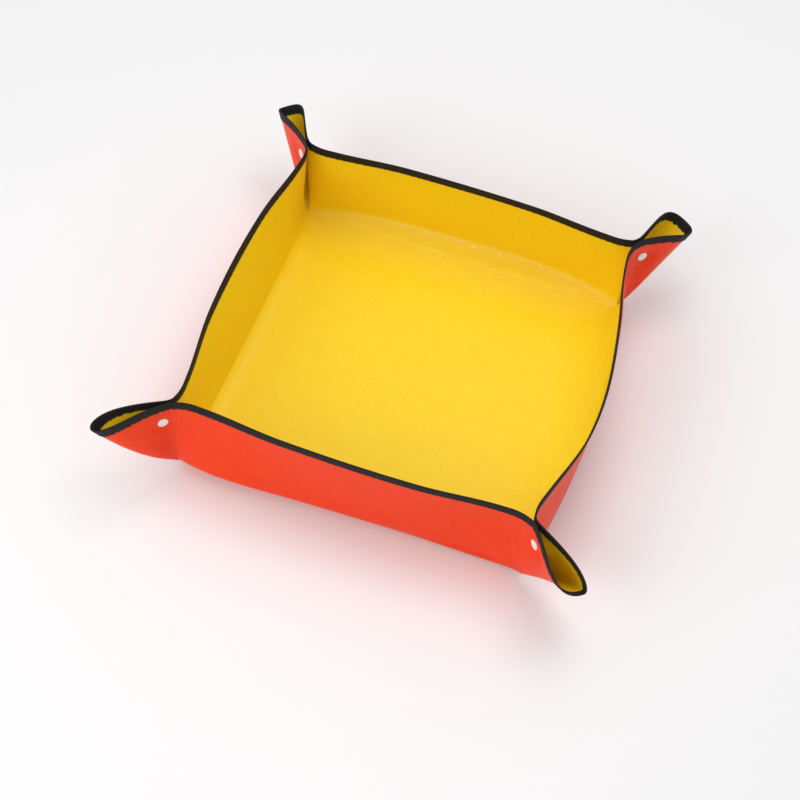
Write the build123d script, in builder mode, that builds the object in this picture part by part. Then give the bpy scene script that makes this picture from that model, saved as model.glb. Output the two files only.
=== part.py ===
# Foldable potting soil tray: a square laminated sheet with a bound edge whose four corners
# are pinched and closed with press snaps, so that the sheet stands up as a tray.
# Lengths are millimetres, +Z is up and the origin is the middle of the underside.
import os
from math import atan2, cos, degrees, radians, sin, sqrt, tan

from build123d import *

os.makedirs("parts", exist_ok=True)

# Sheet
mat_side = 680.0
corner_radius = 100.0
ply = 0.3
bond_gap = 0.04

# Fold lines
wall_plane = 213.0
bend_radius = 24.0
bend_loss = 4.0
rim_arch = 5.0
rim_bulge_middle = 12.0
rim_bulge_end = 0.8
fold_gap = 0.4
pinch_gap = 0.8
mitre_clearance = 1.0
mitre_margin = 3.0

# Corner ears
sheet_offset = 2.1
ear_flat_margin = 0.6
ear_middle_share = 0.32
ear_outer_share = 0.84
ear_open_middle = 10.0
ear_open_outer = 12.0
ear_tip_truncation = 8.0
ridge_clearance = 0.3
ear_arc_inset = 24.0
ear_edge_drop = 2.0

# Edge binding
binding_width = 12.0
binding_ply = 0.75
binding_clearance = 0.03
trim_overrun = 2.0

# Press snaps
snap_from_pinch = 16.0
snap_from_edge = 34.0
cap_radius = 6.2
cap_thickness = 1.3
cap_dish_radius = 4.3
cap_dish_depth = 0.35
cap_rim_fillet = 0.5
post_radius = 1.55
post_hole_radius = 1.7
post_clearance = 0.1
post_setback = 0.4
stud_flange_radius = 5.1
stud_flange_face = 0.35
knob_radius = 2.1
knob_reach = 1.0
socket_radius = 5.2
socket_face = 0.05
socket_cavity_radius = 2.3
socket_cavity_depth = 1.2

# Places worked out from the sizes above
mid_height = ply
bend_rise = bend_radius * (1 - sqrt(0.5))
fold_out = wall_plane - bend_rise
fold_height = mid_height + bend_rise
flat_start = wall_plane - 2 * bend_rise
rim_height = mid_height + mat_side / 2 - bend_loss - flat_start
bend_top = mid_height + bend_radius
pinch_x = wall_plane - sqrt(2) * sheet_offset
apex_height = mid_height + 2 * bend_rise - sqrt(2) * sheet_offset
ear_arc_height = rim_height - ear_edge_drop - corner_radius
snap_height = rim_height - ear_edge_drop - snap_from_edge
ear_flat_reach = snap_from_pinch + cap_radius + ear_flat_margin
ear_flat_share = ear_flat_reach / (snap_height - cap_radius - apex_height)
loft_end = wall_plane + pinch_gap
slab_margin = 3.0
cut_depth = 80.0


def tangent_chain(points, heading):
    """Arcs that run tangent to each other through the points; the first starts at the heading."""
    chain = []
    for start, end in zip(points, points[1:]):
        chord = degrees(atan2(end[1] - start[1], end[0] - start[0]))
        half_turn = chord - heading
        length = sqrt((end[0] - start[0]) ** 2 + (end[1] - start[1]) ** 2)
        sagitta = length / 2 * tan(radians(half_turn / 2))
        middle = (
            (start[0] + end[0]) / 2 + sagitta * sin(radians(chord)),
            (start[1] + end[1]) / 2 - sagitta * cos(radians(chord)),
        )
        leaving = 2 * chord - heading
        chain.append(((start, heading), (middle, chord), (end, leaving), abs(half_turn) < 1e-6))
        heading = leaving
    return chain


def beside(point, heading, shift):
    """The point moved to the right of the heading, which is the outside of the sheet."""
    return (point[0] + shift * sin(radians(heading)), point[1] - shift * cos(radians(heading)))


def strip_outline(chain, inner, outer):
    """Closed outline of a thin strip between two distances from the chain."""
    for start, middle, end, straight in chain:
        if straight:
            Line(beside(*start, outer), beside(*end, outer))
        else:
            ThreePointArc(beside(*start, outer), beside(*middle, outer), beside(*end, outer))
    Line(beside(*chain[-1][2], outer), beside(*chain[-1][2], inner))
    for start, middle, end, straight in reversed(chain):
        if straight:
            Line(beside(*end, inner), beside(*start, inner))
        else:
            ThreePointArc(beside(*end, inner), beside(*middle, inner), beside(*start, inner))
    Line(beside(*chain[0][0], inner), beside(*chain[0][0], outer))


def floor_ply(inner, outer):
    """Floor of the tray: a flat square with its edge turned up through half of each bend."""
    lip_angle = 45 - degrees(fold_gap / bend_radius)
    lip_end = (
        wall_plane - bend_radius + bend_radius * sin(radians(lip_angle)),
        mid_height + bend_radius * (1 - cos(radians(lip_angle))),
    )
    chain = tangent_chain([(0, mid_height), (wall_plane - bend_radius, mid_height), lip_end], 0)
    section = Plane(origin=(0, 0, 0), x_dir=(0, -1, 0), z_dir=(-1, 0, 0))
    with BuildPart() as side:
        with BuildSketch(section):
            with BuildLine():
                strip_outline(chain, inner, outer)
            make_face()
        extrude(amount=wall_plane, both=True)
        with BuildSketch(Plane.XY.offset(-1)):
            with BuildLine():
                Polyline((0, 0), (wall_plane, -wall_plane), (-wall_plane, -wall_plane), close=True)
            make_face()
        extrude(amount=bend_radius, mode=Mode.INTERSECT)
    with BuildPart() as pan:
        for turn in range(4):
            add(side.part.rotate(Axis.Z, 90 * turn))
    return pan.part


def wall_section(x):
    """Section of the front wall at one place along it: the upper half of the bend, then the wall."""
    bulge = rim_bulge_end + rim_bulge_middle * (1 - (x / loft_end) ** 2)
    start_angle = 45 + degrees(fold_gap / bend_radius)
    start = (
        wall_plane - bend_radius + bend_radius * sin(radians(start_angle)),
        mid_height + bend_radius * (1 - cos(radians(start_angle))),
    )
    points = [start, (wall_plane, bend_top), (wall_plane + bulge, rim_height + slab_margin)]
    return tangent_chain(points, start_angle)


def wall_slab(inner, outer):
    """Bowed slab that every layer of the front wall is trimmed from."""
    with BuildPart() as slab:
        for share in (-1, -0.5, 0, 0.5, 1):
            x = share * loft_end
            with BuildSketch(Plane(origin=(x, 0, 0), x_dir=(0, -1, 0), z_dir=(-1, 0, 0))):
                with BuildLine():
                    strip_outline(wall_section(x), inner, outer)
                make_face()
        loft()
    return slab.part


def wall_outline(top, bottom):
    """Front wall seen square on, from the bottom line or the fold up to the rim lowered by top."""
    end = pinch_x - pinch_gap
    end_height = rim_height - rim_arch
    view = Plane(origin=(0, -wall_plane + cut_depth / 2, 0), x_dir=(1, 0, 0), z_dir=(0, -1, 0))
    with BuildSketch(view) as seen:
        with BuildLine():
            ThreePointArc((-end, end_height - top), (0, rim_height - top), (end, end_height - top))
            if bottom is None:
                foot = fold_out - mitre_clearance
                mitre_height = bend_top / 2 + mitre_margin
                Polyline(
                    (end, end_height - top),
                    (end, mitre_height),
                    (foot, fold_height),
                    (foot, 0),
                    (-foot, 0),
                    (-foot, fold_height),
                    (-end, mitre_height),
                    (-end, end_height - top),
                )
            else:
                Line((end, end_height - top), (end, end_height - bottom))
                ThreePointArc((end, end_height - bottom), (0, rim_height - bottom), (-end, end_height - bottom))
                Line((-end, end_height - bottom), (-end, end_height - top))
        make_face()
    return seen.sketch


def wall_layer(inner, outer, top, bottom=None):
    """One layer of the front wall."""
    with BuildPart() as layer:
        add(wall_slab(inner, outer))
        extrude(wall_outline(top, bottom), amount=cut_depth, mode=Mode.INTERSECT)
    return layer.part


diagonal = Vector(1, -1, 0).normalized()
outside = Vector(-1, -1, 0).normalized()
ear_base = Vector(wall_plane - sheet_offset / sqrt(2), -wall_plane + sheet_offset / sqrt(2), 0)


def ear_slab(inner, outer):
    """Half of the loop of a pinched corner, on the right end of the front wall: a ruled cone."""
    with BuildPart() as slab:
        for height in (apex_height + ear_tip_truncation - 1, rim_height + slab_margin):
            reach = height - apex_height
            size = reach / (rim_height - apex_height)
            flat_end = ear_flat_share * reach
            loop = reach - flat_end
            points = [
                (0, -sheet_offset),
                (flat_end, -sheet_offset),
                (flat_end + ear_middle_share * loop, -sheet_offset - (ear_open_middle - sheet_offset) * size),
                (flat_end + ear_outer_share * loop, -sheet_offset - (ear_open_outer - sheet_offset) * size),
                (reach, 0),
            ]
            level = Plane(origin=ear_base + Vector(0, 0, height), x_dir=diagonal, z_dir=(0, 0, 1))
            with BuildSketch(level):
                with BuildLine():
                    strip_outline(tangent_chain(points, 0), inner, outer)
                make_face()
        loft(ruled=True)
    return slab.part


def ear_outline(outer_radius, inner_radius=None):
    """Half ear seen square on to the diagonal: between pinch line, rounded rim and ridge line."""
    low = apex_height + ear_tip_truncation
    high = rim_height + cut_depth
    view = Plane(origin=ear_base + outside * ridge_clearance, x_dir=diagonal, z_dir=outside)
    ridge_shift = apex_height + sqrt(2) * ridge_clearance
    with BuildSketch(view) as seen:
        with BuildLine():
            Polyline(
                (pinch_gap, low),
                (low - ridge_shift, low),
                (high - ridge_shift, high),
                (pinch_gap, high),
                close=True,
            )
        make_face()
        with Locations((ear_arc_inset, ear_arc_height)):
            Circle(outer_radius, mode=Mode.INTERSECT)
            if inner_radius is not None:
                Circle(inner_radius, mode=Mode.SUBTRACT)
    return seen.sketch


snap_view = Plane(
    origin=ear_base + diagonal * snap_from_pinch + Vector(0, 0, snap_height),
    x_dir=diagonal,
    z_dir=outside,
)


def ear_layer(inner, outer, outer_radius, inner_radius=None):
    """One layer of the half ear, pierced where the snap goes through the sheet."""
    with BuildPart() as layer:
        add(ear_slab(inner, outer))
        extrude(ear_outline(outer_radius, inner_radius), amount=cut_depth, mode=Mode.INTERSECT)
        if inner_radius is None:
            with BuildSketch(snap_view):
                Circle(post_hole_radius)
            extrude(amount=cut_depth, mode=Mode.SUBTRACT)
    return layer.part


# Floor of the sheet: yellow lining film on top, orange cover film below
with BuildPart() as floor_lining:
    add(floor_ply(-ply, -bond_gap / 2))

with BuildPart() as floor_cover:
    add(floor_ply(bond_gap / 2, ply))

# Front wall: the same two films, and the binding tape folded over the rim
binding_reach = ply + binding_clearance + binding_ply
sheet_top = binding_ply + binding_clearance

with BuildPart() as wall_lining:
    add(wall_layer(-ply, -bond_gap / 2, sheet_top))

with BuildPart() as wall_cover:
    add(wall_layer(bond_gap / 2, ply, sheet_top))

with BuildPart() as wall_binding:
    add(wall_layer(-binding_reach, binding_reach, 0, binding_width))
    add(
        wall_layer(-ply - binding_clearance, ply + binding_clearance, binding_ply, binding_width + trim_overrun),
        mode=Mode.SUBTRACT,
    )

# Half ear on the right end of the front wall
with BuildPart() as ear_lining:
    add(ear_layer(-ply, -bond_gap / 2, corner_radius - sheet_top))

with BuildPart() as ear_cover:
    add(ear_layer(bond_gap / 2, ply, corner_radius - sheet_top))

with BuildPart() as ear_binding:
    add(ear_layer(-binding_reach, binding_reach, corner_radius, corner_radius - binding_width))
    add(
        ear_layer(
            -ply - binding_clearance,
            ply + binding_clearance,
            corner_radius - binding_ply,
            corner_radius - binding_width - trim_overrun,
        ),
        mode=Mode.SUBTRACT,
    )


def snap_cap(post_end):
    """Cap of a press snap: a dished disc outside the sheet with a post through it."""
    seat = sheet_offset + ply
    with BuildPart() as cap:
        with BuildSketch(snap_view.offset(seat)):
            Circle(cap_radius)
        extrude(amount=cap_thickness)
        outer_edge = cap.edges().filter_by(GeomType.CIRCLE).sort_by(Axis(snap_view.origin, outside))[-1]
        fillet(outer_edge, cap_rim_fillet)
        with BuildSketch(snap_view.offset(seat + cap_thickness)):
            Circle(cap_dish_radius)
        extrude(amount=-cap_dish_depth, mode=Mode.SUBTRACT)
        with BuildSketch(snap_view.offset(post_end)):
            Circle(post_radius)
        extrude(amount=seat - post_end)
    return cap.part


# Press snap on the right end of the front wall: cap outside, stud inside
with BuildPart() as stud_cap:
    add(snap_cap(post_setback - knob_reach))

with BuildPart() as snap_stud:
    with BuildSketch(snap_view.offset(stud_flange_face)):
        Circle(stud_flange_radius)
    extrude(amount=sheet_offset - ply - stud_flange_face)
    with BuildSketch(snap_view.offset(-knob_reach)):
        Circle(knob_radius)
    extrude(amount=knob_reach + stud_flange_face)
    with BuildSketch(snap_view.offset(-knob_reach)):
        Circle(post_radius + post_clearance)
    extrude(amount=knob_reach + sheet_offset, mode=Mode.SUBTRACT)

# Press snap on the left end of the front wall, drawn at the right end and mirrored with its ear
with BuildPart() as socket_cap:
    add(snap_cap(socket_cavity_depth))

with BuildPart() as snap_socket:
    with BuildSketch(snap_view.offset(socket_face)):
        Circle(socket_radius)
    extrude(amount=sheet_offset - ply - socket_face)
    with BuildSketch(snap_view.offset(socket_face)):
        Circle(socket_cavity_radius)
    extrude(amount=socket_cavity_depth - socket_face, mode=Mode.SUBTRACT)
    with BuildSketch(snap_view):
        Circle(post_radius + post_clearance)
    extrude(amount=sheet_offset, mode=Mode.SUBTRACT)


def save(part, name):
    """One named node in a file of its own."""
    part.label = name
    export_step(part, f"parts/{name}.step")


save(floor_lining.part, "floor_lining")
save(floor_cover.part, "floor_cover")

# The four walls are the front one turned about the middle, each with its own two half ears
for turn, wall in enumerate(("front", "right", "back", "left")):
    own_pieces = {
        "wall_lining": wall_lining.part,
        "wall_cover": wall_cover.part,
        "wall_binding": wall_binding.part,
        "right_ear_lining": ear_lining.part,
        "right_ear_cover": ear_cover.part,
        "right_ear_binding": ear_binding.part,
        "right_snap_cap": stud_cap.part,
        "right_snap_stud": snap_stud.part,
        "left_ear_lining": mirror(ear_lining.part, about=Plane.YZ),
        "left_ear_cover": mirror(ear_cover.part, about=Plane.YZ),
        "left_ear_binding": mirror(ear_binding.part, about=Plane.YZ),
        "left_snap_cap": mirror(socket_cap.part, about=Plane.YZ),
        "left_snap_socket": mirror(snap_socket.part, about=Plane.YZ),
    }
    for name, piece in own_pieces.items():
        save(piece.rotate(Axis.Z, 90 * turn), f"{wall}_{name}")
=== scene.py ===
from math import cos, pi, sin, sqrt

import bpy
import numpy as np
from mathutils import Matrix, Vector


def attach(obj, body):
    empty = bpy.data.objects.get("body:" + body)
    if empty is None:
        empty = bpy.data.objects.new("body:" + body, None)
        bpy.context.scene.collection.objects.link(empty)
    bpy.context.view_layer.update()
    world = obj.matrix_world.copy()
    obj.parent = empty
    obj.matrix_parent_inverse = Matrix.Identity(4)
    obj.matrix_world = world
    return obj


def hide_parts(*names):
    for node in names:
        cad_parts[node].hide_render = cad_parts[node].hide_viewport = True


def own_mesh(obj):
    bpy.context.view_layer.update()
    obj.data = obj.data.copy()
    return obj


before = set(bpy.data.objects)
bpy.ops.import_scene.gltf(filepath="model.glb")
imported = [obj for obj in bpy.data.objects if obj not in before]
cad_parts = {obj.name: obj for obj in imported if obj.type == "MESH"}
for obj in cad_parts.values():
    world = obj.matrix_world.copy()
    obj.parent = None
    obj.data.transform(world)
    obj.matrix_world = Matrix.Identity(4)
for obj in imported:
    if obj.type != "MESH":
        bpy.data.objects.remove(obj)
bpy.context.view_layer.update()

# Floor of the tray
# The flat middle of one laminated sheet: a yellow lining film bonded to an orange-red cover film over
# a woven core. It isn't cut from the walls; its edge turns up into them in a soft bend.
film_half = 0.00029
sheet_height = 0.0003
wall_plane = 0.213
bend_radius = 0.024
floor_tail = 0.045
soft_turn = 1.8
flat_lift = 0.001
bend_rise = bend_radius * (1 - sqrt(0.5))
fold_out = wall_plane - bend_rise
fold_height = sheet_height + bend_rise
flat_start = wall_plane - 2 * bend_rise
sharp_turn = floor_tail / bend_rise
# The stress marks are pale stress whitening with painted glints, set off the fold line to where the back
# fold's highlight falls.
crease_shift = 0.008
crease_out = fold_out + crease_shift
crease_band = 0.0030
crease_reach = 0.19

lining_colour = (0.925, 0.665, 0.012, 1)
lining_thread = (0.880, 0.600, 0.007, 1)
# Lining stress colour: pale stress whitening with painted glints along the back fold.
lining_stress_glint = (1.000, 0.880, 0.480, 1)
lining_gloss = 0.32
lining_sheen = (1, 1, 1, 1)
cover_colour = (0.930, 0.052, 0.003, 1)
cover_thread = (0.830, 0.038, 0.002, 1)
# Cover stress colour: the same stress whitening with painted glints, on the orange side.
cover_stress_glint = (0.960, 0.130, 0.060, 1)
cover_gloss = 0.22
cover_sheen = (1, 0.72, 0.62, 1)


def math_node(nodes, links, operation, first, second):
    """One Math node of a shader; each input is a socket or a plain number."""
    node = nodes.new("ShaderNodeMath")
    node.operation = operation
    for socket, value in zip(node.inputs, (first, second)):
        if isinstance(value, (int, float)):
            socket.default_value = value
        else:
            links.new(value, socket)
    return node.outputs["Value"]


def woven_core_group():
    """Crossing threads of the woven core, broad clouds in the gloss, and stress whitening with painted
    glints along the back foot.
    """
    group = bpy.data.node_groups.new("woven_core", "ShaderNodeTree")
    group.interface.new_socket("Threads per metre", in_out="INPUT", socket_type="NodeSocketFloat")
    for name in ("Threads", "Clouds", "Stress and glints"):
        group.interface.new_socket(name, in_out="OUTPUT", socket_type="NodeSocketFloat")
    nodes, links = group.nodes, group.links
    entry = nodes.new("NodeGroupInput")
    leave = nodes.new("NodeGroupOutput")
    flat = nodes.new("ShaderNodeUVMap")
    flat.uv_map = "flat"

    threads = []
    for stretch in ((1.0, 0.04, 1.0), (0.04, 1.0, 1.0)):
        direction = nodes.new("ShaderNodeMapping")
        direction.inputs["Scale"].default_value = stretch
        links.new(flat.outputs["UV"], direction.inputs["Vector"])
        thread = nodes.new("ShaderNodeTexNoise")
        thread.inputs["Detail"].default_value = 2.0
        links.new(direction.outputs["Vector"], thread.inputs["Vector"])
        links.new(entry.outputs["Threads per metre"], thread.inputs["Scale"])
        threads.append(thread.outputs["Fac"])
    crossing = math_node(nodes, links, "ADD", threads[0], threads[1])
    links.new(math_node(nodes, links, "MULTIPLY", crossing, 0.5), leave.inputs["Threads"])

    clouds = nodes.new("ShaderNodeTexNoise")
    clouds.inputs["Scale"].default_value = 9.0
    clouds.inputs["Detail"].default_value = 3.0
    links.new(flat.outputs["UV"], clouds.inputs["Vector"])
    links.new(clouds.outputs["Fac"], leave.inputs["Clouds"])

    # The stress mask: a thin band along the back foot, broken into sparse specks, where stress whitening and
    # painted glints go.
    place = nodes.new("ShaderNodeSeparateXYZ")
    links.new(flat.outputs["UV"], place.inputs["Vector"])
    from_crease = math_node(nodes, links, "SUBTRACT", place.outputs["Y"], crease_out)
    bands = []
    for distance, reach in ((from_crease, crease_band), (place.outputs["X"], crease_reach)):
        band = nodes.new("ShaderNodeMapRange")
        band.inputs["From Max"].default_value = reach
        band.inputs["To Min"].default_value = 1.0
        band.inputs["To Max"].default_value = 0.0
        links.new(math_node(nodes, links, "ABSOLUTE", distance, 0), band.inputs["Value"])
        bands.append(band.outputs["Result"])
    marks = nodes.new("ShaderNodeTexNoise")
    marks.inputs["Scale"].default_value = 340.0
    marks.inputs["Detail"].default_value = 4.0
    links.new(flat.outputs["UV"], marks.inputs["Vector"])
    sparse = nodes.new("ShaderNodeMapRange")
    sparse.inputs["From Min"].default_value = 0.53
    sparse.inputs["From Max"].default_value = 0.72
    links.new(marks.outputs["Fac"], sparse.inputs["Value"])
    creased = math_node(nodes, links, "MULTIPLY", bands[0], bands[1])
    links.new(math_node(nodes, links, "MULTIPLY", creased, sparse.outputs["Result"]), leave.inputs["Stress and glints"])
    return group


woven_core = woven_core_group()


def film_material(name, colour, thread_colour, stress_glint_colour, gloss, sheen_tint):
    """Satin film over the woven core, whitened a little where it has been creased, with painted glints along
    the back fold.
    """
    material = bpy.data.materials.new(name)
    material.use_nodes = True
    nodes, links = material.node_tree.nodes, material.node_tree.links
    shader = nodes["Principled BSDF"]
    shader.inputs["Specular IOR Level"].default_value = gloss
    shader.inputs["Specular Tint"].default_value = sheen_tint
    core = nodes.new("ShaderNodeGroup")
    core.node_tree = woven_core
    core.inputs["Threads per metre"].default_value = 820.0
    contrast = nodes.new("ShaderNodeMapRange")
    contrast.inputs["From Min"].default_value = 0.38
    contrast.inputs["From Max"].default_value = 0.62
    links.new(core.outputs["Threads"], contrast.inputs["Value"])
    weave = nodes.new("ShaderNodeMix")
    weave.data_type = "RGBA"
    weave.inputs["A"].default_value = thread_colour
    weave.inputs["B"].default_value = colour
    links.new(contrast.outputs["Result"], weave.inputs["Factor"])
    # Stress whitening and painted glints are mixed into the colour here.
    crease = nodes.new("ShaderNodeMix")
    crease.data_type = "RGBA"
    crease.inputs["B"].default_value = stress_glint_colour
    links.new(weave.outputs["Result"], crease.inputs["A"])
    links.new(core.outputs["Stress and glints"], crease.inputs["Factor"])
    links.new(crease.outputs["Result"], shader.inputs["Base Color"])
    roughness = nodes.new("ShaderNodeMapRange")
    roughness.inputs["From Min"].default_value = 0.3
    roughness.inputs["From Max"].default_value = 0.7
    roughness.inputs["To Min"].default_value = 0.34
    roughness.inputs["To Max"].default_value = 0.48
    links.new(core.outputs["Clouds"], roughness.inputs["Value"])
    links.new(roughness.outputs["Result"], shader.inputs["Roughness"])
    relief = nodes.new("ShaderNodeBump")
    relief.inputs["Strength"].default_value = 0.25
    relief.inputs["Distance"].default_value = 0.0004
    links.new(core.outputs["Threads"], relief.inputs["Height"])
    links.new(relief.outputs["Normal"], shader.inputs["Normal"])
    return material


lining_film = film_material(
    "yellow_lining_film", lining_colour, lining_thread, lining_stress_glint, lining_gloss, lining_sheen
)
cover_film = film_material(
    "orange_cover_film", cover_colour, cover_thread, cover_stress_glint, cover_gloss, cover_sheen
)


def grid_normals(points):
    """Unit normals of a grid of points, from its own rows and columns."""
    normals = np.cross(np.gradient(points, axis=1), np.gradient(points, axis=0))
    return normals / np.maximum(np.linalg.norm(normals, axis=2, keepdims=True), 1e-12)


def grid_piece(name, points, normals, flat, material):
    """A piece whose mesh is a grid of points, with smooth normals and its place on the flat sheet."""
    rows, columns = points.shape[:2]
    mesh = bpy.data.meshes.new(name)
    corner = np.arange(rows * columns).reshape(rows, columns)
    quads = np.stack([corner[:-1, :-1], corner[:-1, 1:], corner[1:, 1:], corner[1:, :-1]], axis=-1)
    mesh.from_pydata(points.reshape(-1, 3).tolist(), [], quads.reshape(-1, 4).tolist())
    mesh.polygons.foreach_set("use_smooth", [True] * len(mesh.polygons))
    layer = mesh.uv_layers.new(name="flat")
    loops = np.empty(len(mesh.loops), int)
    mesh.loops.foreach_get("vertex_index", loops)
    layer.data.foreach_set("uv", flat.reshape(-1, 2)[loops].ravel())
    mesh.normals_split_custom_set_from_vertices(normals.reshape(-1, 3).tolist())
    mesh.materials.append(material)
    piece = bpy.data.objects.new(name, mesh)
    bpy.context.collection.objects.link(piece)
    return piece


def two_films(name, points, normals, flat, half):
    """The yellow and the orange film of one panel, from points and normals that face into the tray."""
    lining = grid_piece(f"{name}_lining_film", points + half * normals, normals, flat, lining_film)
    outer_grids = (points - half * normals, -normals, flat)
    back, back_normals, back_flat = (np.swapaxes(grid, 0, 1) for grid in outer_grids)
    cover = grid_piece(f"{name}_cover_film", back, back_normals, back_flat, cover_film)
    return {"lining": lining, "cover": cover}


def floor_rise(out, turn):
    """Rise of the floor at a distance from the middle: flat, then up to the fold, sooner if soft."""
    share = np.clip((out - fold_out + floor_tail) / floor_tail, 0, 1)
    return bend_rise * share**turn


middle = np.linspace(0, fold_out - floor_tail, 18)
lip = np.linspace(fold_out - floor_tail, fold_out, 20)
half_side = np.concatenate([middle, lip[1:]])
whole_side = np.concatenate([-half_side[:0:-1], half_side])
floor_x, floor_y = np.meshgrid(whole_side, whole_side)
edges = ((-floor_y, sharp_turn), (floor_x, soft_turn), (floor_y, soft_turn), (-floor_x, sharp_turn))
floor_z = sheet_height + np.max([floor_rise(out, turn) for out, turn in edges], axis=0)
floor_points = np.stack([floor_x, floor_y, floor_z], axis=-1)
floor_flat = np.stack([floor_x, floor_y], axis=-1)
floor_half = np.zeros(floor_x.shape + (1,))
floor_half[1:-1, 1:-1] = film_half
# At two corners a whole triangle lies on the edge, so the films part there at the corner point.
floor_half[[0, -1], [-1, 0]] = film_half
floor_films = two_films("floor", floor_points, grid_normals(floor_points), floor_flat, floor_half)
for layer, film in floor_films.items():
    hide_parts(f"floor_{layer}")
    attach(film, "floor")
    anchor = (0, 0, sheet_height + flat_lift)
    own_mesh(film)

# Walls of the tray
# The same sheet turned up on four sides. Only its corners are held, so each rim and each soft foot bows
# by its own amount, and towards its ends the wall turns outwards into the pinched corner.
sheet_half_side = 0.336
corner_radius = 0.1
pinch_offset = 0.0021
ear_arc_inset = 0.024
ear_edge_drop = 0.002
snap_height = 0.1014
fillet_at_snap = 0.014
fillet_at_floor = 0.085
fillet_power = 1.3
fillet_onset = 2
least_rise = 0.0003
seam_angle = pi / 8
tab_reach = 2.5
tab_limit = 0.4
wall_turn_radius = 0.065
wall_turn_low = 0.03
wall_turn_high = 0.09
draw_in_start = 0.08
draw_in_end = 0.17
wall_tail = 0.042
corner_top = 0.034
hem_allowance = 0.0008
foot_rise = 0.014
even_wall = {"rim_bow": 0, "rim_skew": 0, "foot_bow": 0, "foot_tilt": 0, "ripple": 0}
wall_shape = {
    "front": {"rim_bow": 0.010, "rim_skew": 0, "foot_bow": 0.002, "foot_tilt": -0.013, "ripple": 0.3},
    "right": {"rim_bow": 0.028, "rim_skew": -0.7, "foot_bow": 0.022, "foot_tilt": 0.004, "ripple": 1.9},
    "back": {"rim_bow": 0.004, "rim_skew": 0, "foot_bow": 0.024, "foot_tilt": -0.003, "ripple": 3.1},
    "left": {"rim_bow": 0.013, "rim_skew": 0, "foot_bow": -0.006, "foot_tilt": 0, "ripple": 4.4},
}
rim_bow_power = 1.4
lean_power = 1.4
ripple_height = 0.0011
ripple_length = 0.19
ripple_power = 0.8

rim_height = sheet_height + sheet_half_side - flat_start
pinch_x = wall_plane - sqrt(2) * pinch_offset
apex_height = sheet_height + 2 * bend_rise - sqrt(2) * pinch_offset
fillet_reach = sqrt(2) - 1
fillet_rise = 1 - cos(seam_angle)
seam_share = (1 / cos(seam_angle) - 1) * sin(seam_angle)
ear_arc_height = rim_height - ear_edge_drop - corner_radius
rim_end_height = ear_arc_height + sqrt(corner_radius**2 - (ear_arc_inset - seam_share * fillet_at_snap) ** 2)


def fillet_at(height):
    """Radius of the turn from a wall into its ear: tight at the snap, wide and soft below it."""
    above = np.maximum(height - apex_height, least_rise)
    slack = np.clip(1 - above / (snap_height - apex_height), 0, 1)
    soft = fillet_at_snap + (fillet_at_floor - fillet_at_snap) * slack**fillet_power
    return soft * (1 - np.exp(-fillet_onset * above / soft))


def wall_end(height):
    """Where a wall ends and its ear begins: along the floor's mitre, then up the pinch line."""
    return np.minimum(pinch_x - seam_share * fillet_at(height), flat_start + height - sheet_height)


def wall_tab(height):
    """How far a wall's film runs on under its ear, so that no slit shows when the tray lies flat."""
    share = np.clip((height - apex_height) / apex_height, 0, 1)
    return tab_reach * seam_share * fillet_at(height) * share


def wall_foot(height):
    """How far the foot of a wall stays back while it turns up out of the floor."""
    share = np.clip(1 - (height - fold_height) / wall_tail, 0, 1)
    return -bend_rise * share ** (wall_tail / bend_rise)


def mitre_gap(height):
    """What the end of a wall's foot needs to meet the next wall on the diagonal of the corner."""
    level = np.minimum(height, apex_height)
    gap = flat_start + level - sheet_height - wall_plane - wall_foot(level)
    return gap * np.clip((corner_top - height) / (corner_top - apex_height), 0, 1) ** 2


def smooth(value, low, high):
    """Zero below low, one above high, and a soft rise between."""
    share = np.clip((value - low) / (high - low), 0, 1)
    return share**2 * (3 - 2 * share)


def wall_turn(x, height):
    """How the end of a wall draws in and then turns out towards its ear, on past the seam."""
    from_end = np.abs(x) - wall_end(height)
    ear_radius = fillet_at(height)
    wider = np.maximum(wall_turn_radius - ear_radius, 0)
    radius = ear_radius + wider * smooth(height, wall_turn_low, wall_turn_high)
    turn = np.clip(from_end + sin(seam_angle) * radius, 0, sin(seam_angle) * radius)
    drawn_in = fillet_rise * (radius - ear_radius) * smooth(np.abs(x), draw_in_start, draw_in_end)
    tab = sin(seam_angle) * ear_radius + np.clip(from_end, 0, tab_limit * ear_radius)
    past_seam = (1 - fillet_rise) * ear_radius - np.sqrt(ear_radius**2 - tab**2)
    return radius - np.sqrt(radius**2 - turn**2) - drawn_in + past_seam


def foot_out(along, height, shape):
    """How far the soft foot of a wall stands out from the straight line between its corners."""
    share = np.clip((height - fold_height) / foot_rise, 0, 1)
    bow = shape["foot_bow"] * (1 - np.abs(along) ** 3) + shape["foot_tilt"] * along * (1 - along**6)
    return bow * share * (2 - share)


def wall_out(x, height, shape):
    """Distance of the front wall from the middle of the tray."""
    along = np.clip(x / pinch_x, -1, 1)
    up = np.clip((height - fold_height) / (rim_height - fold_height), 0, 1)
    corner = mitre_gap(height) * smooth(np.abs(x), wall_end(height) - corner_top, wall_end(height))
    bow = shape["rim_bow"] * (1 + shape["rim_skew"] * along) * (1 - along**2) ** rim_bow_power
    lean = bow * up**lean_power + foot_out(along, height, shape) * (1 - up)
    wave = np.sin(2 * pi * x / ripple_length + shape["ripple"])
    ripple = ripple_height * wave * np.sin(pi * up**ripple_power) * (1 - along**4)
    return wall_plane + wall_foot(height) + corner + lean + ripple + wall_turn(x, height)


def rim_at(along):
    """Height of the rim, which arches a little between the pinched corners."""
    return rim_height - (rim_height - rim_end_height) * np.clip(along, -1, 1) ** 2


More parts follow.
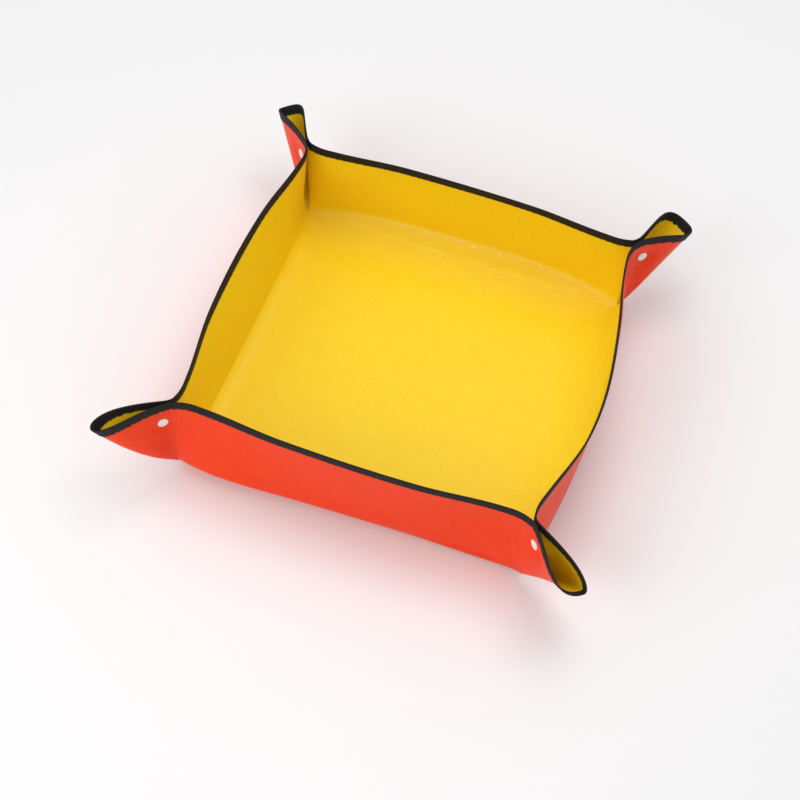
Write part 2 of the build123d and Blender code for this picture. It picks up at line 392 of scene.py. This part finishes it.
def wall_normals(x, height, shape):
    """Normals of the front wall that face into the tray, from its slopes along and up."""
    step = 0.0004
    ahead = wall_out(x + step, height, shape) - wall_out(x - step, height, shape)
    above = wall_out(x, height + step, shape) - wall_out(x, height - step, shape)
    normals = np.stack([ahead, 2 * step + 0 * ahead, above], axis=-1)
    return normals / np.linalg.norm(normals, axis=-1, keepdims=True)


def tab_share(along):
    """How far on the tab past the end of a wall a column stands, from 0 to 1."""
    return np.clip(np.abs(along) - 1, 0, 1)


def wall_surface(along, drop, shape):
    """Points and normals of the front wall below its rim, and their place on the flat sheet."""
    height = np.maximum(rim_at(along) - drop, fold_height)
    x = np.clip(along, -1, 1) * wall_end(height) + np.sign(along) * tab_share(along) * wall_tab(height)
    points = np.stack([x, -wall_out(x, height, shape), height], axis=-1)
    flat = np.stack([x, sheet_height - height - flat_start, 0 * x], axis=-1)
    return points, wall_normals(x, height, shape), flat


def turned(points, quarter):
    """Points of the front side of the tray turned to another side."""
    angle = quarter * pi / 2
    spin = np.array([[cos(angle), sin(angle), 0], [-sin(angle), cos(angle), 0], [0, 0, 1]])
    return points @ np.round(spin, 12)


sides = ("front", "right", "back", "left")
end_share = 0.86
foot_share = 0.3
end_columns = np.concatenate([np.linspace(end_share, 1, 18), [1.3, 1.6, 2]])
middle_columns = np.linspace(-end_share, end_share, 60)[1:-1]
wall_columns = np.concatenate([-end_columns[::-1], middle_columns, end_columns])[::-1]
wall_rows = np.concatenate([np.linspace(0, foot_share, 20), np.linspace(foot_share, 1, 22)[1:]])
wall_films = {}
for quarter, side in enumerate(sides):
    along, share = np.meshgrid(wall_columns, wall_rows)
    drop = hem_allowance + (1 - share) * (rim_at(along) - fold_height - hem_allowance)
    surface = wall_surface(along, drop, wall_shape[side])
    points, normals, flat = (turned(grid, quarter) for grid in surface)
    half = film_half * (1 - tab_share(along))[..., None]
    half[0] = 0
    wall_films[side] = two_films(f"{side}_wall", points, normals, flat[..., :2], half)
    outward = turned(np.array([0, -1.0, 0]), quarter)
    for layer, film in wall_films[side].items():
        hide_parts(f"{side}_wall_{layer}")
        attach(film, f"{side}_wall")
        anchor = outward * (wall_plane - flat_lift)
        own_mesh(film)

# Ears at the corners
# Where two walls meet, the spare corner of the sheet stands out as an ear: an open loop, pinched flat
# at the wall and round at its outer ridge. Each ear opens, leans and sags by its own amount.
ear_flat_end = 0.010
seam_blend = 0.030
ear_open = {
    "front_right": 0.0225,
    "right_left": 0.0085,
    "right_right": 0.0150,
    "back_left": 0.0247,
    "back_right": 0.0190,
    "left_left": 0.0100,
    "left_right": 0.0095,
    "front_left": 0.0100,
}
ear_lean = {"front_right": 0.0190, "back_right": 0.0153, "back_left": -0.0085, "front_left": -0.0225}
ear_sag = {"front_right": 0.010, "back_right": 0, "back_left": 0, "front_left": 0.014}
ear_close = {"front_right": 0.5, "back_right": 0.85, "back_left": 0.5, "front_left": 0.5}
loop_rise = 1.2
lean_rise = 1.3
snap_out = 0.016
dimple_inner = 0.0070
dimple_outer = 0.022
corners = ("front_right", "back_right", "back_left", "front_left")
ear_parting_share = 0.25
ear_turn_limit = 0.8
ridge_hold = 0.55
ear_bulge_power = 0.65
ear_reach = rim_height - apex_height
ear_base = np.array([wall_plane - pinch_offset / sqrt(2), -wall_plane + pinch_offset / sqrt(2), 0])
diagonal = np.array([1, -1, 0]) / sqrt(2)
outside = np.array([-1, -1, 0]) / sqrt(2)


def ear_profile(opening, lean, sag, closing):
    """Half of the loop at full size: distances out from the pinch, sideways from the flat part, and sag."""
    flat = np.linspace(seam_share * fillet_at_snap, ear_flat_end, 10)
    share = np.sin(np.linspace(0, pi / 2, 58)[1:])
    out = np.concatenate([flat, ear_flat_end + share * (ear_reach - ear_flat_end)])
    share = np.concatenate([0 * flat, share])
    widest = sqrt(loop_rise / (loop_rise + 2 * closing))
    loop = share**loop_rise * (1 - share**2) ** closing
    widest_loop = widest**loop_rise * (1 - widest**2) ** closing
    swing = share**lean_rise
    return out, opening * loop / widest_loop + lean * swing, sag * swing


def ear_rulings(out):
    """Where each straight line from the floor's corner meets the rounded edge, as a share and a length."""
    centre_height = ear_arc_height - apex_height
    square = out**2 + ear_reach**2
    linear = -2 * (out * ear_arc_inset + ear_reach * centre_height)
    constant = ear_arc_inset**2 + centre_height**2 - corner_radius**2
    full = (-linear + np.sqrt(linear**2 - 4 * square * constant)) / (2 * square)
    return full, full * np.sqrt(square)


def ear_surface(profile, drop):
    """Points and normals of the front wall's right ear below its edge, and their place on the flat sheet."""
    out, sideways, sag = profile
    full, length = ear_rulings(out)
    rise = np.clip(1 - drop / length, 0, 1)
    size = full * rise
    closing = np.clip(2 * out / ear_reach - 1, 0, 1)
    foot = np.clip(1 - size / ear_parting_share, 0, 1)
    distance = size * out - pinch_offset * (1 - ridge_hold * closing) * foot**2
    height = apex_height + size * ear_reach
    seam_height = height[:, :1]
    seam_x = wall_end(seam_height)
    seam_out = wall_out(seam_x, seam_height, even_wall)
    seam_distance = (seam_x + seam_out) / sqrt(2) - ear_base[0] * sqrt(2)
    seam_offset = (seam_out - seam_x) / sqrt(2)
    fade = np.clip(1 - (out - out[0]) / seam_blend, 0, 1) ** 2
    distance = distance + (seam_distance - distance[:, :1]) * fade
    parting = pinch_offset * np.clip(size / ear_parting_share, 0, 1)
    radius = fillet_at(height)
    turn = np.clip(fillet_reach * radius - distance, 0, ear_turn_limit * radius)
    held = smooth(np.hypot(distance - snap_out, height - snap_height), dimple_inner, dimple_outer)
    sideways = size**ear_bulge_power * sideways + 4 * rise * (1 - rise) * sag
    free = sideways + radius - np.sqrt(radius**2 - turn**2)
    offset = parting * (1 - closing**2 * (3 - 2 * closing)) + held * free
    offset = offset + (seam_offset - offset[:, :1]) * fade
    points = ear_base + distance[..., None] * diagonal + offset[..., None] * outside
    points[..., 2] = height
    normals = grid_normals(points[:, ::-1])[:, ::-1] * np.sign(height[-1, 0] - height[0, 0])
    normals = np.where(size[..., None] > 0, normals, normals[1])
    normals = normals + (wall_normals(seam_x, seam_height, even_wall) - normals) * fade[:, None]
    normals = normals / np.linalg.norm(normals, axis=-1, keepdims=True)
    flat = np.stack([pinch_x + distance, sheet_height - height - flat_start, 0 * height], axis=-1)
    return points, normals, flat


def ear_side(grids, end, quarter):
    """Grids of the front wall's right ear taken to one end of one wall, in an order that faces inwards."""
    if end == "left":
        return [turned(grid * np.array([-1, 1, 1]), quarter) for grid in grids]
    return [turned(grid[:, ::-1], quarter) for grid in grids]


def ear_place(quarter, side, end, corner, swing_side):
    """Profile of one half ear, the direction out from its pinch, and a point just outside the pinch."""
    lean, sag = swing_side * ear_lean[corner], swing_side * ear_sag[corner]
    profile = ear_profile(ear_open[f"{side}_{end}"], lean, sag, ear_close[corner])
    mirror = np.array([-1 if end == "left" else 1, 1, 1])
    away = turned(outside * mirror, quarter)
    anchor = turned((ear_base + outside * (pinch_offset - flat_lift)) * mirror, quarter)
    return profile, away, anchor


ears = []
for quarter, side in enumerate(sides):
    ears.append((quarter, side, "right", corners[quarter], -1))
    ears.append((quarter, side, "left", corners[quarter - 1], 1))

ridge_column = {"right": 0, "left": -1}
ear_row_power = 0.8
ear_rows = np.linspace(0, 1, 26)[:, None] ** ear_row_power
for quarter, side, end, corner, swing_side in ears:
    profile, away, anchor = ear_place(quarter, side, end, corner, swing_side)
    length = ear_rulings(profile[0])[1]
    drop = hem_allowance + (1 - ear_rows) * (length - hem_allowance)
    points, normals, flat = ear_side(ear_surface(profile, drop), end, quarter)
    half = np.full(points.shape[:2] + (1,), film_half)
    half[:, ridge_column[end]] = 0
    films = two_films(f"{side}_{end}_ear", points, normals, flat[..., :2], half)
    for layer, film in films.items():
        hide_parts(f"{side}_{end}_ear_{layer}")
        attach(film, f"{side}_{end}_ear")
        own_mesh(film)

# Edge binding
# Black woven tape folded in half over the edge of the sheet, on the rims of the walls and round the
# ears. It is sewn on, so its inner edge draws in a little between the stitches.
tape_width = 0.012
tape_half = 0.00105
tape_edge = 0.0006
tape_pucker = {"wall": 0.0003, "ear": 0.0007}
tape_round = 0.0003
tape_hem_share = 0.25
pucker_length = 0.0075
second_pucker = 0.6
second_length = 1.63
second_phase = 1
tape_colour = (0.0075, 0.0072, 0.0075, 1)
tape_rib_colour = (0.0160, 0.0155, 0.0160, 1)


def tape_material():
    """Dull black tape with fine ribs across it."""
    material = bpy.data.materials.new("black_binding_tape")
    material.use_nodes = True
    nodes, links = material.node_tree.nodes, material.node_tree.links
    shader = nodes["Principled BSDF"]
    shader.inputs["Specular IOR Level"].default_value = 0.22
    flat = nodes.new("ShaderNodeUVMap")
    flat.uv_map = "flat"
    ribs = nodes.new("ShaderNodeTexWave")
    ribs.inputs["Scale"].default_value = 320.0
    ribs.inputs["Distortion"].default_value = 1.2
    ribs.inputs["Detail"].default_value = 2.0
    ribs.inputs["Detail Scale"].default_value = 2.0
    links.new(flat.outputs["UV"], ribs.inputs["Vector"])
    shade = nodes.new("ShaderNodeMix")
    shade.data_type = "RGBA"
    shade.inputs["A"].default_value = tape_colour
    shade.inputs["B"].default_value = tape_rib_colour
    links.new(ribs.outputs["Fac"], shade.inputs["Factor"])
    links.new(shade.outputs["Result"], shader.inputs["Base Color"])
    wear = nodes.new("ShaderNodeMapRange")
    wear.inputs["To Min"].default_value = 0.62
    wear.inputs["To Max"].default_value = 0.78
    links.new(ribs.outputs["Fac"], wear.inputs["Value"])
    links.new(wear.outputs["Result"], shader.inputs["Roughness"])
    relief = nodes.new("ShaderNodeBump")
    relief.inputs["Strength"].default_value = 0.5
    relief.inputs["Distance"].default_value = 0.0003
    links.new(ribs.outputs["Fac"], relief.inputs["Height"])
    links.new(relief.outputs["Normal"], shader.inputs["Normal"])
    return material


binding_tape = tape_material()
round_rise = sqrt(tape_half**2 - (tape_half - tape_round) ** 2)
tape_middle = [0.3 * tape_width, 0.65 * tape_width]
tape_drops = np.array([0, tape_round, tape_half] + tape_middle + [tape_width - tape_edge, tape_width])
tape_offsets = np.array([0, round_rise, tape_half, tape_half, tape_half, tape_half, 0.7 * tape_half])
last_drop = len(tape_drops) - 1
tape_turn = list(range(last_drop, 0, -1)) + list(range(last_drop + 1))
tape_sign = [1] * last_drop + [-1] * (last_drop + 1)


def run_length(path):
    """Distances along a path of points."""
    return np.concatenate([[0], np.cumsum(np.linalg.norm(np.diff(path, axis=0), axis=1))])


def tape_grid(surface, inner_face, pucker):
    """Folded tape over an edge: its section at every column, and the surface that it is folded over."""
    level = np.broadcast_to(tape_drops[:, None], (len(tape_drops), len(inner_face)))
    length = run_length(surface(level)[0][0])
    second_wave = np.sin(2 * pi * length / (second_length * pucker_length) + second_phase)
    wave = np.sin(2 * pi * length / pucker_length) + second_pucker * second_wave
    points, normals = surface(level + pucker * wave * (level / tape_width) ** 3)
    faces = {1: inner_face[:, None], -1: -1}
    hem = tape_hem_share * tape_half * normals[-1]
    section = [points[-1] + faces[1] * hem]
    for row, sign in zip(tape_turn, tape_sign):
        section.append(points[row] + faces[sign] * tape_offsets[row] * normals[row])
    section = np.stack(section + [points[-1] - hem])
    around = np.linspace(-tape_width, tape_width, len(section))
    return section, np.stack(np.meshgrid(length, around), axis=-1), points, normals


# Sewing thread
# One row of black lockstitch on each face of the tape, near its inner edge.
stitch_length = 0.0031
stitch_pitch = 0.0042
stitch_half_width = 0.00034
stitch_stations = np.array([-0.5, -0.32, 0, 0.32, 0.5])
stitch_taper = (0.25, 0.85, 1, 0.85, 0.25)
stitch_angles = (0, pi / 4, pi / 2, 3 * pi / 4, pi)
stitch_roundness = 0.9
stitch_row_above = 4
stitch_row_share = 0.6
thread_colour = (0.020, 0.020, 0.021, 1)


def thread_material():
    """Black polyester thread with the twist of its strands."""
    material = bpy.data.materials.new("black_sewing_thread")
    material.use_nodes = True
    nodes, links = material.node_tree.nodes, material.node_tree.links
    shader = nodes["Principled BSDF"]
    shader.inputs["Base Color"].default_value = thread_colour
    shader.inputs["Specular IOR Level"].default_value = 0.5
    twist = nodes.new("ShaderNodeTexWave")
    twist.bands_direction = "DIAGONAL"
    twist.inputs["Scale"].default_value = 900.0
    place = nodes.new("ShaderNodeTexCoord")
    links.new(place.outputs["Object"], twist.inputs["Vector"])
    sheen = nodes.new("ShaderNodeMapRange")
    sheen.inputs["To Min"].default_value = 0.38
    sheen.inputs["To Max"].default_value = 0.58
    links.new(twist.outputs["Fac"], sheen.inputs["Value"])
    links.new(sheen.outputs["Result"], shader.inputs["Roughness"])
    return material


sewing_thread = thread_material()


def stitch_row(name, path, normals):
    """Separate stitches along a path on both faces of the tape."""
    length = run_length(path)
    count = max(int(length[-1] / stitch_pitch), 1)
    starts = (np.arange(count) + 0.5) * length[-1] / count
    ring_size = len(stitch_angles)
    vertices, faces = [], []
    for face_side in (1, -1):
        for start in starts:
            along = start + stitch_length * stitch_stations
            centre = np.stack([np.interp(along, length, path[:, axis]) for axis in range(3)], axis=-1)
            normal = np.array([np.interp(start, length, normals[:, axis]) for axis in range(3)]) * face_side
            forward = centre[-1] - centre[0]
            forward = forward / np.linalg.norm(forward)
            across = np.cross(normal, forward)
            first = len(vertices)
            for point, width in zip(centre, stitch_taper):
                for angle in stitch_angles:
                    reach = stitch_half_width * width
                    lift = tape_half + stitch_roundness * reach * sin(angle)
                    vertices.append(point + across * reach * cos(angle) + normal * lift)
            for ring in range(len(stitch_stations) - 1):
                for edge in range(ring_size - 1):
                    low = first + ring * ring_size + edge
                    quad = (low, low + 1, low + ring_size + 1, low + ring_size)
                    faces.append(quad if face_side > 0 else quad[:1] + quad[:0:-1])
    mesh = bpy.data.meshes.new(name)
    mesh.from_pydata([tuple(vertex) for vertex in vertices], [], faces)
    mesh.polygons.foreach_set("use_smooth", [True] * len(mesh.polygons))
    mesh.materials.append(sewing_thread)
    piece = bpy.data.objects.new(name, mesh)
    bpy.context.collection.objects.link(piece)
    return piece


def bind_edge(name, body, surface, inner_face, pucker):
    """Tape and stitches on the edge of one panel."""
    grid, flat, points, normals = tape_grid(surface, inner_face, pucker)
    tape = grid_piece(f"{name}_binding_tape", grid, grid_normals(grid), flat, binding_tape)
    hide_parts(f"{name}_binding")
    above, below = points[stitch_row_above], points[stitch_row_above + 1]
    seam = above + stitch_row_share * (below - above)
    thread = stitch_row(f"{name}_binding_stitches", seam, normals[stitch_row_above])
    for piece in (tape, thread):
        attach(piece, body)
        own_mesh(piece)
    return [tape, thread]


rim_ends = np.append(np.linspace(end_share, 1, 24), 1.8)
rim_middle = np.linspace(-end_share, end_share, 90)[1:-1]
rim_columns = np.concatenate([-rim_ends[::-1], rim_middle, rim_ends])[::-1]
for quarter, side in enumerate(sides):
    outward = turned(np.array([0, -1.0, 0]), quarter)

    def rim_surface(drops, quarter=quarter, side=side):
        along = np.broadcast_to(rim_columns, drops.shape)
        points, normals, flat = wall_surface(along, drops, wall_shape[side])
        return turned(points, quarter), turned(normals, quarter)

    anchor = outward * (wall_plane - flat_lift)
    name = f"{side}_wall"
    inner_face = np.ones(len(rim_columns))
    hem = bind_edge(name, name, rim_surface, inner_face, tape_pucker["wall"])

for quarter, side, end, corner, swing_side in ears:
    profile, away, anchor = ear_place(quarter, side, end, corner, swing_side)

    def ear_edge(drops, profile=profile, end=end, quarter=quarter):
        points, normals, flat = ear_side(ear_surface(profile, drops), end, quarter)
        return points, normals

    name = f"{side}_{end}_ear"
    inner_face = np.ones(len(profile[0]))
    inner_face[ridge_column[end]] = 0
    hem = bind_edge(name, name, ear_edge, inner_face, tape_pucker["ear"])

# Press snaps
# Two-part snaps of white acetal through the flat of each ear: dished caps outside, and a stud and a
# socket inside that click together and hold the corner pinched.
snap_colour = (0.92, 0.92, 0.90, 1)
snap_shade = (0.80, 0.80, 0.77, 1)


def snap_material():
    """Smooth white moulded plastic, a little duller in patches."""
    material = bpy.data.materials.new("white_snap_plastic")
    material.use_nodes = True
    nodes, links = material.node_tree.nodes, material.node_tree.links
    shader = nodes["Principled BSDF"]
    shader.inputs["Subsurface Weight"].default_value = 0.08
    shader.inputs["Subsurface Radius"].default_value = (0.001, 0.001, 0.0008)
    place = nodes.new("ShaderNodeTexCoord")
    haze = nodes.new("ShaderNodeTexNoise")
    haze.inputs["Scale"].default_value = 240.0
    haze.inputs["Detail"].default_value = 3.0
    links.new(place.outputs["Object"], haze.inputs["Vector"])
    tone = nodes.new("ShaderNodeMix")
    tone.data_type = "RGBA"
    tone.inputs["A"].default_value = snap_shade
    tone.inputs["B"].default_value = snap_colour
    links.new(haze.outputs["Fac"], tone.inputs["Factor"])
    links.new(tone.outputs["Result"], shader.inputs["Base Color"])
    gloss = nodes.new("ShaderNodeMapRange")
    gloss.inputs["To Min"].default_value = 0.22
    gloss.inputs["To Max"].default_value = 0.42
    links.new(haze.outputs["Fac"], gloss.inputs["Value"])
    links.new(gloss.outputs["Result"], shader.inputs["Roughness"])
    return material


snap_plastic = snap_material()
for name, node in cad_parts.items():
    if "_snap_" in name:
        node.data.materials.clear()
        node.data.materials.append(snap_plastic)

# Stage floor, light and camera
# A pale flat floor, soft light from above and from the front left, and the camera fitted to the photograph.
stage_half = 4
stage_colour = (0.86, 0.86, 0.86, 1)
camera_place = (0.3350, -1.3173, 1.8583)
stage_mesh = bpy.data.meshes.new("stage_floor")
stage_corners = [(x * stage_half, y * stage_half, 0) for x, y in ((-1, -1), (1, -1), (1, 1), (-1, 1))]
stage_mesh.from_pydata(stage_corners, [], [(0, 1, 2, 3)])
stage_floor = bpy.data.objects.new("stage_floor", stage_mesh)
bpy.context.collection.objects.link(stage_floor)
stage_paint = bpy.data.materials.new("pale_stage")
stage_paint.use_nodes = True
stage_shader = stage_paint.node_tree.nodes["Principled BSDF"]
stage_shader.inputs["Base Color"].default_value = stage_colour
stage_shader.inputs["Roughness"].default_value = 0.9
stage_mesh.materials.append(stage_paint)

world = bpy.data.worlds.new("studio")
bpy.context.scene.world = world
world.use_nodes = True
backdrop = world.node_tree.nodes["Background"]
backdrop.inputs["Color"].default_value = (1, 1, 1, 1)
backdrop.inputs["Strength"].default_value = 0.60
lamps = (("key", (0.2, 0.4, 2.2), 1.5, 21), ("fill", (-1.2, -2.0, 1.6), 1.6, 26))
for name, place, size, power in lamps:
    lamp = bpy.data.lights.new(name, "AREA")
    lamp.size = size
    lamp.energy = power
    light = bpy.data.objects.new(name, lamp)
    light.location = place
    light.rotation_euler = (-Vector(place)).to_track_quat("-Z", "Y").to_euler()
    bpy.context.collection.objects.link(light)

camera_data = bpy.data.cameras.new("photo_camera")
camera_data.sensor_width = 36
camera_data.lens = 84.4
camera = bpy.data.objects.new("photo_camera", camera_data)
camera_right = Vector((0.9420, 0.3301, 0.0600))
camera_up = Vector((-0.3019, 0.7563, 0.5804))
camera_back = Vector((0.1462, -0.5649, 0.8121))
camera_turn = Matrix((camera_right, camera_up, camera_back)).transposed().to_4x4()
camera.matrix_world = Matrix.Translation(camera_place) @ camera_turn
bpy.context.collection.objects.link(camera)
bpy.context.scene.camera = camera
bpy.context.scene.view_settings.view_transform = "Standard"
